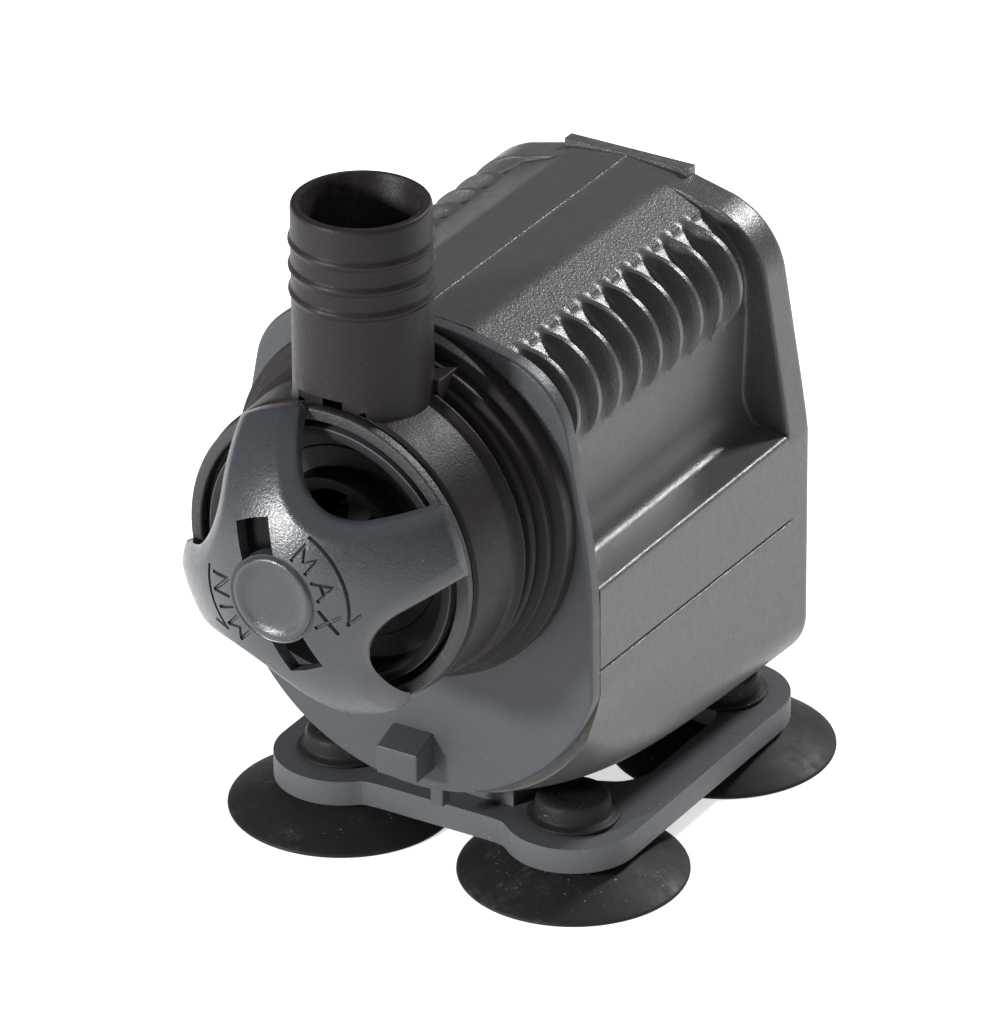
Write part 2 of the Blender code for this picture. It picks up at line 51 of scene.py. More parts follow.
FOOT_X, FOOT_FRONT, FOOT_REAR, CUP_R = 19.87, 12.22, 55.99, 17.26
FACE_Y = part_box("suction_cup_rear_left")[1].y / MM - FOOT_REAR - CUP_R

BODY_HALF, BODY_REAR, BODY_BOTTOM = 30.2, 63.8, 13.3
BELLY_R, BELLY_Z = 31.6, 45.8
REAR_CORNER = 8.0
SIDE_Z = BELLY_Z - math.sqrt(BELLY_R**2 - BODY_HALF**2)
SIDE_ANGLE = math.degrees(math.atan2(SIDE_Z - BELLY_Z, BODY_HALF))
PLATE_THICK, WALL = 2.5, 2.2
CROWN_Z = 91.0
SEAM_RISE = 0.06
RECESS_END = 57.4
RIB_COUNT, RIB_PITCH, RIB_FIRST = 9, 5.8, 5.6
RIB_TOP, RIB_FOOT, SLOT_DEPTH = 0.5, 1.7, 3.0
GROOVE_FRONT_Z, GROOVE_REAR_Z, GROOVE_END, GROOVE_DEPTH = 40.5, 39.5, 58.4, 0.38
HOOK_HALF, HOOK_REACH = 3.4, 4.7
PEG_LOW, PEG_HIGH = 11.8, 16.0

CHAMBER_FRONT, SEAT_R, VOLUTE_R = 20.7, 20.6, 18.0
NOZZLE_Y, NOZZLE_R, NOZZLE_BORE, NOZZLE_TOP = -12.4, 10.1, 8.6, 114.7
NOZZLE_FLOOR = AXIS_Z + SEAT_R + 1.6
BEAD_HEIGHTS = 101.2, 105.0, 109.0
BARREL_R = 23.65
GRILLE_WINDOW_IN, GRILLE_WINDOW_OUT, GRILLE_WINDOW_ANGLE = 4.8, 9.0, 62

DOME_R, DOME_TIP, DOME_THICK, DOME_EDGE = 28.0, 38.2, 2.0, 23.9
RIM_R = 2.2
ARM_FOOT, ARM_INNER_R = 22.9, 22.3
ARM_ANGLE = math.radians(22)
OPENING_OUT, OPENING_R, LIP_R = 25.9, 11.6, 13.8
LIP_STEP, LIP_ROLL = 0.75, 1.15
STRAIGHT_FROM = math.radians(33)
HUB_R = 7.0
MARK_R, ARROW_R = 9.0, 11.7

BASE_LOW, BASE_HIGH, LOBE_R = 5.0, 9.0, 10.3
BUTTON_TOP = 13.0
GLAND_Z, GLAND_HOLE_R = 24.0, 4.2
FLOOR_REACH = 3.0  # in metres


# ---- outlines and shapes: a shape is (points, faces) in millimetres ----


def arc(centre_x, centre_y, radius, start, end, steps):
    """Points on an arc, with angles in degrees."""
    angles = np.radians(np.linspace(start, end, steps + 1))
    return np.stack((centre_x + radius * np.cos(angles), centre_y + radius * np.sin(angles)), 1)


def path(keys, counts):
    """Points along straight runs between keys, counts[k] of them on run k. The last key is left out."""
    keys = np.array(keys, float)
    runs = []
    for start, end, count in zip(keys[:-1], keys[1:], counts):
        part = np.arange(count)[:, None] / count
        runs.append(start + (end - start) * part)
    return np.concatenate(runs)


def soften(points, radius, steps=4, closed=False):
    """The same line with each corner rounded over about radius."""
    points = np.array(points, float)
    count = len(points)
    found = [] if closed else [points[0]]
    for k in range(count) if closed else range(1, count - 1):
        before, here, after = points[k - 1], points[k], points[(k + 1) % count]
        to_before, to_after = before - here, after - here
        start = here + to_before * min(0.45, radius / np.linalg.norm(to_before))
        end = here + to_after * min(0.45, radius / np.linalg.norm(to_after))
        for t in np.linspace(0, 1, steps + 1):
            found.append((1 - t) ** 2 * start + 2 * t * (1 - t) * here + t**2 * end)
    if not closed:
        found.append(points[-1])
    return np.array(found)


def mirrored(half):
    """A closed outline from its right half, which runs from the bottom centre to the top centre."""
    left = half[1:-1][::-1] * (-1, 1)
    return np.concatenate((half, left))


def grid(rows, wrap_rows=False, wrap_cols=True):
    """Quads over an array of rows x columns points."""
    rows = np.array(rows, float)
    height, width = rows.shape[:2]
    faces = []
    for r in range(height if wrap_rows else height - 1):
        here, there = r * width, (r + 1) % height * width
        for c in range(width if wrap_cols else width - 1):
            after = (c + 1) % width
            faces.append((here + c, here + after, there + after, there + c))
    return rows.reshape(-1, 3), faces


def capped(rows):
    """Rows of closed loops, with a face over each end."""
    points, faces = grid(rows)
    width = len(rows[0])
    faces.append(tuple(range(width)))
    faces.append(tuple(range(len(points) - width, len(points))))
    return points, faces


def turned(profile, steps, closed=False):
    """Profile of (radius, height) spun about local Z: closed, or with both ends on the axis."""
    profile = np.array(profile, float)
    angles = np.linspace(0, 2 * math.pi, steps, endpoint=False)
    rings = profile if closed else profile[1:-1]
    around = np.stack((np.cos(angles), np.sin(angles)), 1)
    rows = [np.column_stack((around * radius, np.full(steps, height))) for radius, height in rings]
    points, faces = grid(rows, wrap_rows=closed)
    if closed:
        return points, faces
    tips = [(0, 0, profile[0][1]), (0, 0, profile[-1][1])]
    for tip, row in ((0, 0), (1, len(rings) - 1)):
        index = len(points) + tip
        faces += [(index, row * steps + k, row * steps + (k + 1) % steps) for k in range(steps)]
    return np.concatenate((points, tips)), faces


def prism(outline, low, high):
    outline = np.array(outline, float)
    return capped([np.column_stack((outline, np.full(len(outline), z))) for z in (low, high)])


def block(low, high):
    corners = [(low[0], low[1]), (high[0], low[1]), (high[0], high[1]), (low[0], high[1])]
    return prism(corners, low[2], high[2])


def merged(*shapes):
    """Several shapes in one."""
    points, faces = [], []
    for found, quads in shapes:
        start = sum(len(p) for p in points)
        points.append(found)
        faces += [tuple(start + v for v in quad) for quad in quads]
    return np.concatenate(points), faces


def moved(shape, by=(0, 0, 0), turn=0.0):
    """A shape turned about local Z and then moved."""
    points, faces = shape
    c, s = math.cos(turn), math.sin(turn)
    points = points @ np.array([(c, s, 0), (-s, c, 0), (0, 0, 1)])
    return points + by, faces


def on_axis(shape):
    """From (x, up, station) about the rotor's axis to (x, back, up) from the front face and the floor."""
    points, faces = shape
    return np.column_stack((points[:, 0], -points[:, 2], points[:, 1] + AXIS_Z)), faces


def across(shape):
    """From (x, up, back) to (x, back, up)."""
    points, faces = shape
    return np.column_stack((points[:, 0], points[:, 2], points[:, 1])), faces


def mesh_of(shape, name, weld=False):
    points, faces = shape
    mesh = bpy.data.meshes.new(name)
    mesh.from_pydata((points * MM).tolist(), [], faces)
    work = bmesh.new()
    work.from_mesh(mesh)
    if weld:
        bmesh.ops.remove_doubles(work, verts=work.verts, dist=0.004 * MM)
    bmesh.ops.recalc_face_normals(work, faces=work.faces)
    work.to_mesh(mesh)
    work.free()
    return mesh


def shape_of(mesh):
    points = np.zeros(len(mesh.vertices) * 3)
    mesh.vertices.foreach_get("co", points)
    return points.reshape(-1, 3) / MM, [tuple(face.vertices) for face in mesh.polygons]


def carved(shape, steps, weld=False):
    """A closed shape after steps of ("DIFFERENCE" or "UNION", other closed shape)."""
    scratch = [bpy.data.objects.new("work", mesh_of(shape, "work", weld))]
    for operation, other in steps:
        tool = bpy.data.objects.new("tool", mesh_of(other, "tool"))
        modifier = scratch[0].modifiers.new(operation, "BOOLEAN")
        modifier.operation = operation
        modifier.solver = "MANIFOLD"
        modifier.object = tool
        scratch.append(tool)
    for item in scratch:
        bpy.context.scene.collection.objects.link(item)
    bpy.context.view_layer.update()
    result = shape_of(scratch[0].evaluated_get(bpy.context.evaluated_depsgraph_get()).to_mesh())
    for item in scratch:
        bpy.data.objects.remove(item, do_unlink=True)
    return result


def rounded(shape, width, segments=3, angle=35):
    """A closed shape with its edges sharper than angle rounded off."""
    mesh = mesh_of(shape, "rounding")
    work = bmesh.new()
    work.from_mesh(mesh)
    limit = math.radians(angle)
    edges = [e for e in work.edges if len(e.link_faces) == 2 and e.calc_face_angle() > limit]
    settings = {"segments": segments, "profile": 0.6, "affect": "EDGES", "clamp_overlap": True}
    bmesh.ops.bevel(work, geom=edges, offset=width * MM, **settings)
    work.to_mesh(mesh)
    work.free()
    result = shape_of(mesh)
    bpy.data.meshes.remove(mesh)
    return result


# ---- materials ----


class Nodes:
    """Short calls for building one material's node tree."""

    def __init__(self, name):
        self.material = bpy.data.materials.new(name)
        self.material.use_nodes = True
        self.tree = self.material.node_tree
        self.shader = self.tree.nodes["Principled BSDF"]
        self.place = self.add("ShaderNodeTexCoord").outputs["Object"]

    def add(self, kind, **settings):
        node = self.tree.nodes.new(kind)
        for key, value in settings.items():
            setattr(node, key, value)
        return node

    def link(self, start, end):
        self.tree.links.new(start, end)

    def noise(self, scale, detail=3.0, stretch=None):
        node = self.add("ShaderNodeTexNoise")
        node.inputs["Scale"].default_value = scale
        node.inputs["Detail"].default_value = detail
        node.inputs["Roughness"].default_value = 0.7
        place = self.place
        if stretch:
            mapping = self.add("ShaderNodeMapping")
            mapping.inputs["Scale"].default_value = stretch
            self.link(place, mapping.inputs["Vector"])
            place = mapping.outputs["Vector"]
        self.link(place, node.inputs["Vector"])
        return node.outputs["Fac"]

    def spread(self, value, low, high, to_low, to_high):
        node = self.add("ShaderNodeMapRange")
        node.inputs["From Min"].default_value = low
        node.inputs["From Max"].default_value = high
        node.inputs["To Min"].default_value = to_low
        node.inputs["To Max"].default_value = to_high
        self.link(value, node.inputs["Value"])
        return node.outputs["Result"]

    def times(self, a, b):
        node = self.add("ShaderNodeMath", operation="MULTIPLY")
        self.link(a, node.inputs[0])
        self.link(b, node.inputs[1])
        return node.outputs[0]

    def colours(self, value, first, second):
        """From the first colour at 0 to the second at 1."""
        node = self.add("ShaderNodeMix", data_type="RGBA")
        self.link(value, node.inputs["Factor"])
        for socket, colour in ((node.inputs["A"], first), (node.inputs["B"], second)):
            if isinstance(colour, tuple):
                socket.default_value = (*colour, 1)
            else:
                self.link(colour, socket)
        return node.outputs["Result"]

    def bump(self, value, strength, distance, under=None):
        node = self.add("ShaderNodeBump")
        node.inputs["Strength"].default_value = strength
        node.inputs["Distance"].default_value = distance * MM
        self.link(value, node.inputs["Height"])
        if under:
            self.link(under, node.inputs["Normal"])
        return node.outputs["Normal"]


def scaled(colour, by):
    return tuple(min(1.0, channel * by) for channel in colour)


PALE_DUST = (0.42, 0.42, 0.41)


def plastic(
    name, colour, roughness, grain=0.3, grain_size=0.2, worn=0.35, dust=0.25, dust_colour=PALE_DUST, gloss=0.4
):
    """Moulded plastic: fine spark-eroded grain, uneven sheen, rubbed edges and specks of dust."""
    n = Nodes(name)
    cloud = n.noise(70, 4)
    fine = n.noise(1000 / grain_size * 0.5, 2)
    body = n.colours(n.spread(cloud, 0.3, 0.7, 0, 1), scaled(colour, 0.95), scaled(colour, 1.05))
    tone = n.colours(n.spread(fine, 0.35, 0.7, 0, 0.35), body, scaled(colour, 1.5))
    edge = n.spread(n.add("ShaderNodeNewGeometry").outputs["Pointiness"], 0.52, 0.6, 0, worn)
    rubbed = n.times(edge, n.spread(n.noise(900, 3), 0.4, 0.62, 0, 1))
    tone = n.colours(rubbed, tone, scaled(colour, 3.2))
    dusty = n.spread(n.noise(110, 3), 0.5, 0.7, 0, dust)
    specks = n.times(n.spread(n.noise(1900, 1), 0.70, 0.78, 0, 1), dusty)
    tone = n.colours(specks, tone, dust_colour)
    n.link(tone, n.shader.inputs["Base Color"])
    sheen = n.spread(n.noise(600, 3), 0.3, 0.7, roughness - 0.05, roughness + 0.06)
    n.link(sheen, n.shader.inputs["Roughness"])
    waves = n.bump(n.noise(160, 2), 0.025, 0.2)
    n.link(n.bump(fine, grain, 0.12, waves), n.shader.inputs["Normal"])
    n.shader.inputs["Specular IOR Level"].default_value = gloss
    return n.material


def rubber(name, colour, roughness=0.55, dust=0.5):
    """Black rubber with water marks and lint."""
    n = Nodes(name)
    cloud = n.spread(n.noise(130, 5), 0.52, 0.75, 0, dust)
    marks = n.times(n.spread(n.noise(1300, 2), 0.5, 0.72, 0, 1), cloud)
    lint = n.times(n.spread(n.noise(2100, 1), 0.72, 0.78, 0, 1), n.spread(n.noise(90, 2), 0.5, 0.6, 0, 0.9))
    tone = n.colours(cloud, colour, scaled(colour, 2.4))
    tone = n.colours(marks, tone, (0.14, 0.14, 0.14))
    tone = n.colours(lint, tone, (0.35, 0.35, 0.35))
    n.link(tone, n.shader.inputs["Base Color"])
    sheen = n.spread(n.noise(260, 4), 0.3, 0.7, roughness - 0.1, roughness + 0.12)
    n.link(sheen, n.shader.inputs["Roughness"])
    n.link(n.bump(n.noise(2200, 2), 0.18, 0.05), n.shader.inputs["Normal"])
    n.shader.inputs["Specular IOR Level"].default_value = 0.16
    return n.material


def metal(name, colour, roughness, stretch=None):
    """Metal with fine drawn or stacked lines."""
    n = Nodes(name)
    lines = n.noise(500, 3, stretch)
    n.link(n.colours(lines, scaled(colour, 0.7), scaled(colour, 1.15)), n.shader.inputs["Base Color"])
    n.link(n.spread(lines, 0.3, 0.7, roughness - 0.1, roughness + 0.12), n.shader.inputs["Roughness"])
    n.link(n.bump(lines, 0.4, 0.08), n.shader.inputs["Normal"])
    n.shader.inputs["Metallic"].default_value = 1.0
    return n.material


def ceramic(name, colour, roughness):
    """Ground ceramic or sintered ferrite, with small pits."""
    n = Nodes(name)
    pits = n.noise(2600, 3)
    tone = n.colours(n.noise(240, 3), scaled(colour, 0.85), scaled(colour, 1.05))
    n.link(tone, n.shader.inputs["Base Color"])
    n.link(n.spread(pits, 0.3, 0.7, roughness - 0.08, roughness + 0.1), n.shader.inputs["Roughness"])
    n.link(n.bump(pits, 0.25, 0.03), n.shader.inputs["Normal"])
    return n.material


CASE_GREY = (0.052, 0.0515, 0.049)
HOUSING = plastic("housing_grain", CASE_GREY, 0.33, grain=0.6)
REAR = plastic("rear_grain", CASE_GREY, 0.36, grain=0.6, worn=0.0)
# Slate-blue tint painted in: it stands for the front light's bluish reflection on the flat front face.
PLATE_PAINTED_BLUE_REFLECTION = plastic("plate_grain_painted_blue_reflection", (0.041, 0.045, 0.051), 0.46, grain=0.55, worn=0.0)
DIAL = plastic("dial_satin", (0.030, 0.034, 0.039), 0.3, grain=0.5, gloss=0.5)
RING = plastic("ring_rough", (0.022, 0.022, 0.024), 0.5, grain=1.0, worn=0.6)
CHAMBER = plastic("chamber_satin", (0.0165, 0.0130, 0.0130), 0.42, grain=0.45, dust=0.12, gloss=0.14)
# Near black for the hollow behind the dial: dark plastic, with the cavity's shade painted into its colour.
CAVITY_DARK_AND_SHADE = plastic("intake_dark_and_painted_shade", (0.013, 0.012, 0.0135), 0.5, grain=0.4, dust=0.1, gloss=0.2)
BASE = plastic("base_scuffed", (0.062, 0.066, 0.072), 0.5, grain=0.4, worn=0.0, dust=0.6)
WELL = plastic("well_plastic", (0.07, 0.07, 0.07), 0.35, grain=0.15)
IMPELLER = plastic("impeller_plastic", (0.03, 0.03, 0.032), 0.35, grain=0.2)
NYLON = plastic("bobbin_nylon", (0.70, 0.68, 0.60), 0.45, grain=0.15, dust=0.1, dust_colour=(0.4, 0.38, 0.33))
RESIN = plastic("potting_resin", (0.035, 0.037, 0.036), 0.25, grain=0.1, grain_size=0.5)
CUP = rubber("cup_rubber", (0.014, 0.014, 0.015))
SEAL = rubber("seal_rubber", (0.02, 0.02, 0.021), 0.5, 0.2)
GLAND = rubber("gland_rubber", (0.018, 0.018, 0.019), 0.6, 0.3)
SHAFT = ceramic("shaft_ceramic", (0.78, 0.77, 0.73), 0.22)
MAGNET = ceramic("magnet_ferrite", (0.05, 0.05, 0.053), 0.42)
CORE = metal("core_steel", (0.36, 0.36, 0.37), 0.42, (0.3, 6.0, 0.3))
WINDING = metal("winding_copper", (0.55, 0.22, 0.08), 0.34, (0.4, 0.4, 4.0))


def piece(name, shape, stands_for, material, body="pump", sharp=32, weld=False):
    """A finished object in the row frame that stands for one CAD node and rides on its body."""
    points, faces = shape
    mesh = mesh_of((points + (0, FACE_Y, 0), faces), name, weld)
    mesh.shade_smooth()
    mesh.set_sharp_from_angle(angle=math.radians(sharp))
    made = bpy.data.objects.new(name, mesh)
    made.data.materials.append(material)
    bpy.context.scene.collection.objects.link(made)
    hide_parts(stands_for)
    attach(made, body)
    return made


# ---- motor block ----


def underside(y, inset):
    """Bottom centre to the side: round at the front, and a flat floor with two corners at the rear."""
    front = arc(0, BELLY_Z, BELLY_R - inset, -90, SIDE_ANGLE, 42)
    flat_end = BODY_HALF - REAR_CORNER
    flat = path([(0, BODY_BOTTOM + inset), (flat_end, BODY_BOTTOM + inset)], [7])
    corner = arc(flat_end, BODY_BOTTOM + REAR_CORNER, REAR_CORNER - inset, -90, 0, 28)
    side = path([(BODY_HALF - inset, BODY_BOTTOM + REAR_CORNER), (BODY_HALF - inset, SIDE_Z)], [7])[1:]
    rear = np.concatenate((flat, corner, side, [(BODY_HALF - inset, SIDE_Z)]))
    share = 0.8 * math.exp(-y / 11) + 0.2 * (1 - y / BODY_REAR)
    return rear + (front - rear) * share


def side_groove(y, inset):
    """The flat side up to below the ledge, with the shallow engraved line along it."""
    groove_z = GROOVE_FRONT_Z + (GROOVE_REAR_Z - GROOVE_FRONT_Z) * y / BODY_REAR
    end = min(1.0, max(0.0, (GROOVE_END - y) / 0.5))
    face, deep = BODY_HALF - inset, BODY_HALF - inset - (0.0 if inset else GROOVE_DEPTH * end)
    keys = [(face, SIDE_Z), (face, groove_z - 0.42), (face, groove_z - 0.3), (deep, groove_z - 0.14)]
    keys += [(deep, groove_z + 0.14), (face, groove_z + 0.3), (face, groove_z + 0.42), (face, 51.4)]
    return path(keys, [4, 1, 1, 1, 1, 1, 8])[1:]


def flank(slot, inset):
    """The waisted outline above the side: the ledge, the recess wall and the ribbed shoulder."""
    side = path([(30.2, 51.4), (30.2, 53.2)], [2])
    edge = arc(29.4, 53.2, 0.8, 0, 90, 7)
    ledge = path([(29.4, 54.0), (25.2, 54.5)], [7])
    fillet = (25.2, 60.0) + arc(0, 0, 1.0, -90, -180, 18) * (2.9, 5.5)
    wall = path([(22.3, 60.0), (22.74, 73.0)], [12])
    low = np.concatenate((side, edge[:-1], ledge, fillet[:-1], wall))
    low = low - (inset, 1.4 * inset)
    t = np.linspace(0, 1, 49)
    share = np.clip(np.sin(math.pi * t), 0, 1) ** 0.55
    radius = 8.8 - inset - SLOT_DEPTH * slot * share
    angles = np.radians(-42 + 137 * t)
    shoulder = np.stack((16.2 + radius * np.cos(angles), 78.9 + radius * np.sin(angles)), 1)
    return np.concatenate((low, shoulder, crown(inset, shoulder[-1])))


def crown(inset, start):
    """From the shoulder to the thin raised seam along the top."""
    height = 0.0 if inset else SEAM_RISE
    keys = [start, (8.6, 90.35 - inset), (0.25, CROWN_Z - inset - 0.02), (0.12, CROWN_Z - inset + height)]
    keys.append((0, CROWN_Z - inset + height))
    return np.concatenate((path(keys, [6, 6, 2, 1])[1:], [keys[-1]]))


def plain(inset):
    """The same outline without its recess, point for point."""
    keys = [(30.2, 51.4), (30.2, 52.6), (29.9, 55.1), (29.3, 59.0), (28.9, 61.5)]
    low = path(keys, [6, 12, 14, 14]) - (inset, 0)
    shoulder = arc(13.5, 76.0, 12.8 - inset, 8, 73, 48)
    return np.concatenate((low, shoulder, crown(inset, shoulder[-1])))


def section(y, recess, slot, inset=0.0):
    upper_plain, upper_waisted = plain(inset), flank(slot, inset)
    upper = upper_plain + (upper_waisted - upper_plain) * recess
    half = np.concatenate((underside(y, inset), side_groove(y, inset), upper))
    outline = mirrored(half)
    return np.column_stack((outline[:, 0], np.full(len(outline), y), outline[:, 1]))


def slot_at(y):
    """How deep the slots are at y: 0 on a rib's top and 1 between ribs."""
    nearest = min(RIB_COUNT - 1, max(0, round((y - RIB_FIRST) / RIB_PITCH)))
    away = abs(y - RIB_FIRST - nearest * RIB_PITCH)
    part = min(1.0, max(0.0, (away - RIB_TOP) / (RIB_FOOT - RIB_TOP)))
    return math.sin(part * math.pi / 2) ** 1.15


# How much of the recess is left at each distance past its end.
END_WALL = ((-0.6, 1), (-0.4, 0.995), (-0.2, 0.97), (-0.08, 0.92), (-0.02, 0.84), (0, 0.7))
END_WALL += ((0.02, 0.5), (0.04, 0.3), (0.07, 0.14), (0.15, 0.05), (0.3, 0.01), (0.5, 0))


def make_housing():
    """The moulded case: a shell open at both ends, with its side recesses, ribs and rear tab."""
    rows = [section(y, 1, slot_at(y)) for y in np.arange(PLATE_THICK + 0.05, 56.4, 0.28)]
    for past, recess in END_WALL:
        rows.append(section(RECESS_END + past, recess, 1))
    rows += [section(y, 0, 0) for y in np.linspace(58.3, 62.6, 8)]
    for angle in np.radians(np.linspace(15, 90, 6)):
        rows.append(section(62.8 + math.sin(angle), 0, 0, 0.001 + 1.0 - math.cos(angle)))
    rows += [section(y, 0, 0, WALL) for y in (63.8, 60.2)]
    rows += [section(y, 1, 1, WALL) for y in (59.9, 30.0, 12.0, PLATE_THICK + 0.05)]
    shell = grid(rows, wrap_rows=True)
    tab = rounded(block((-10.6, 61.4, 88.9), (10.6, 63.4, 91.2)), 0.1)
    return piece("motor_case", merged(shell, tab), "motor_housing", HOUSING)


def make_rear_cover():
    """Cover set into the rear of the case, with a raised field and a hole for the lead."""
    outline = section(BODY_REAR, 0, 0, WALL + GAP)[:, (0, 2)]
    rows = []
    for inset, y in ((0.4, 60.6), (0, 60.9), (0, 62.8), (0.35, 63.2)):
        rows.append(np.column_stack((outline * shrink(outline, inset), np.full(len(outline), y))))
    plate = across(capped(rows))
    raised = soften([(-17, 34), (17, 34), (15, 80), (-15, 80)], 4, 6, True)
    field = across(rounded(prism(raised, 62.9, 63.5), 0.25))
    hole = turned([(0, -4), (GLAND_HOLE_R, -4), (GLAND_HOLE_R, 4), (0, 4)], 64)
    plate = carved(plate, [("DIFFERENCE", across(moved(hole, (0, GLAND_Z, BODY_REAR))))])
    return piece("rear_plate", merged(plate, field), "rear_cover", REAR)


def shrink(outline, inset):
    """Scale that draws an outline in by about inset at its sides."""
    return 1 - inset / np.abs(outline).max()


def make_gland():
    """Rubber grommet for the lead, with a stepped boot and a blind bore."""
    profile = [(0, -4.2), (6.2, -4.2), (6.2, -3.6), (3.9, -3.6), (3.9, 0.2), (5.6, 0.2), (5.6, 1.6)]
    profile += [(4.9, 1.9), (4.9, 2.6), (4.5, 2.9), (4.5, 3.6), (4.1, 3.9), (4.1, 4.6), (3.9, 5.2)]
    profile += [(3.8, 6.4), (3.0, 6.8), (2.9, 1.0), (0, 1.0)]
    gland = across(moved(turned(soften(profile, 0.25, 3), 64), (0, GLAND_Z, BODY_REAR - GAP)))
    return piece("lead_gland", gland, "cable_gland", GLAND)


def plate_outline():
    """Outline of the front plate, which follows the case's plain outline."""
    half = arc(0, BELLY_Z, BELLY_R, -90, SIDE_ANGLE, 60)
    keys = [(BODY_HALF, SIDE_Z + 0.6), (BODY_HALF, 52.6), (29.5, 60.0), (27.7, 69.5)]
    upper = np.concatenate((keys, arc(13.5, 76.0, 12.8, 8, 73, 30), [(8.6, 90.35), (0, CROWN_Z)]))
    half = np.concatenate((half, soften(upper, 3.5, 6)))
    return mirrored(half)


def normals_of(outline):
    """Outward unit normals of a closed outline that runs counter-clockwise."""
    along = np.roll(outline, -1, 0) - np.roll(outline, 1, 0)
    out = np.stack((along[:, 1], -along[:, 0]), 1)
    return out / np.linalg.norm(out, axis=1)[:, None]


def make_front_plate():
    """Cover of the motor block, with the latch hook and the peg."""
    outline = plate_outline()
    out = normals_of(outline)
    angles = np.arctan2(outline[:, 1] - AXIS_Z, outline[:, 0])
    hole_r = 15.3
    hole = np.stack((hole_r * np.cos(angles), AXIS_Z + hole_r * np.sin(angles)), 1)

    def row(line, y):
        return np.column_stack((line, np.full(len(line), y)))

    edge = 0.55
    rows = [row(hole, 0), row(outline - out * 3.0, 0), row(outline - out * 1.2, 0)]
    for angle in np.radians(np.linspace(0, 90, 6)):
        rows.append(row(outline - out * edge * (1 - math.sin(angle)), edge * (1 - math.cos(angle))))
    rows += [row(outline, 1.6), row(outline, 2.35), row(outline - out * 0.15, PLATE_THICK)]
    rows.append(row(hole, PLATE_THICK))
    face = across(grid(rows, wrap_rows=True))
    side = [(0.5, 17.8), (-HOOK_REACH, 17.8), (-HOOK_REACH, 22.3), (0.5, 24.1)]
    hook = capped([[(x, y, z) for y, z in side] for x in (-HOOK_HALF, HOOK_HALF)])
    hook = rounded(hook, 0.22, 3)
    peg = rounded(block((2.7, 0.2, PEG_LOW), (4.8, 2.3, PEG_HIGH)), 0.2)
    # The cover's blue tint is a painted reflection of the front light.
    return piece("front_cover", merged(face, hook, peg), "front_plate", PLATE_PAINTED_BLUE_REFLECTION, sharp=40)


# ---- pump chamber and intake ----


def make_chamber():
    """Barrel with its collar rings, the lug and saddle behind the upright tube, and the tube's beads."""
    outer = [(23.05, CHAMBER_FRONT), (23.6, 20.2), (23.85, 10.9), (24.1, 10.3), (24.9, 9.75), (24.9, 9.35)]
    outer += [(24.3, 8.9), (23.2, 8.6), (23.1, 7.6), (24.6, 7.3), (24.9, 6.9), (24.9, 6.5), (24.3, 6.3)]
    outer += [(24.3, 5.7), (26.2, 5.5), (26.25, 4.7), (25.6, 4.4), (25.55, 3.5), (27.5, 3.1), (27.75, 2.8)]
    outer += [(27.75, GAP)]
    inner = [(23.0, GAP), (23.0, 1.7), (20.0, 1.7), (20.0, GAP), (VOLUTE_R, GAP)]
    inner += [(VOLUTE_R, 14.2), (SEAT_R, 14.2), (SEAT_R, CHAMBER_FRONT - 0.2), (SEAT_R + 0.3, CHAMBER_FRONT)]
    barrel = on_axis(turned(soften(outer + inner, 0.22, 3, True), 220, True))
    root_z = AXIS_Z + SEAT_R + 0.5
    tube = [(0, root_z), (NOZZLE_R, root_z)]
    for bead_z in BEAD_HEIGHTS:
        tube += [(NOZZLE_R, bead_z - 0.75), (NOZZLE_R + 0.12, bead_z - 0.6), (NOZZLE_R + 0.4, bead_z - 0.1)]
        tube += [(NOZZLE_R + 0.4, bead_z + 0.15), (NOZZLE_R + 0.1, bead_z + 0.6), (NOZZLE_R, bead_z + 0.75)]
    tube += [(NOZZLE_R, NOZZLE_TOP - 0.55), (NOZZLE_R - 0.2, NOZZLE_TOP - 0.1), (NOZZLE_R - 0.45, NOZZLE_TOP)]
    tube += [(0, NOZZLE_TOP)]
    tube = moved(turned(soften(tube, 0.3, 2), 128), (0, NOZZLE_Y, 0))
    lug = rounded(block((3.0, -8.9, 80.0), (10.4, -2.8, 87.3)), 0.25)
    saddle = rounded(block((-9.5, -10.5, 80.0), (3.4, -2.9, 87.0)), 0.3)
    mouth = NOZZLE_BORE + 0.5
    bore = [(0, NOZZLE_FLOOR), (8.5, NOZZLE_FLOOR), (NOZZLE_BORE, NOZZLE_TOP - 0.7)]
    bore += [(mouth, NOZZLE_TOP + 0.1), (mouth, NOZZLE_TOP + 4), (0, NOZZLE_TOP + 4)]
    bore = moved(turned(bore, 128), (0, NOZZLE_Y, 0))
    port = block((-6.2, NOZZLE_Y + 0.7, AXIS_Z + 14), (6.2, -4.6, NOZZLE_FLOOR + 1.1))
    steps = [("UNION", tube), ("UNION", lug), ("UNION", saddle), ("DIFFERENCE", bore), ("DIFFERENCE", port)]
    dial_room = turned([(19.6, 20.75), (25.2, 20.75), (25.2, 30), (19.6, 30)], 220, True)
    room = ("DIFFERENCE", on_axis(dial_room))
    chamber = carved(barrel, steps + [room])
    fillet = carved(root_fillet(), [room])
    return piece("pump_head", merged(chamber, fillet), "pump_chamber", CHAMBER)


def root_fillet():
    """Small fillet where the outlet tube rises from the barrel."""
    angles = np.linspace(0, 2 * math.pi, 128, endpoint=False)
    rows = []
    for turn in np.radians(np.linspace(0, 90, 7)):
        radius = NOZZLE_R - 0.15 + 0.75 * (1 - math.sin(turn))
        x, y = radius * np.cos(angles), NOZZLE_Y + radius * np.sin(angles)
        barrel = AXIS_Z + np.sqrt(BARREL_R**2 - x**2)
        rows.append(np.column_stack((x, y, barrel - 0.12 + 0.75 * (1 - math.cos(turn)))))
    under_r = 9.4
    x, y = under_r * np.cos(angles), NOZZLE_Y + under_r * np.sin(angles)
    under = np.column_stack((x, y, AXIS_Z + np.sqrt(BARREL_R**2 - x**2) - 0.3))
    return grid(rows + [under], wrap_rows=True)


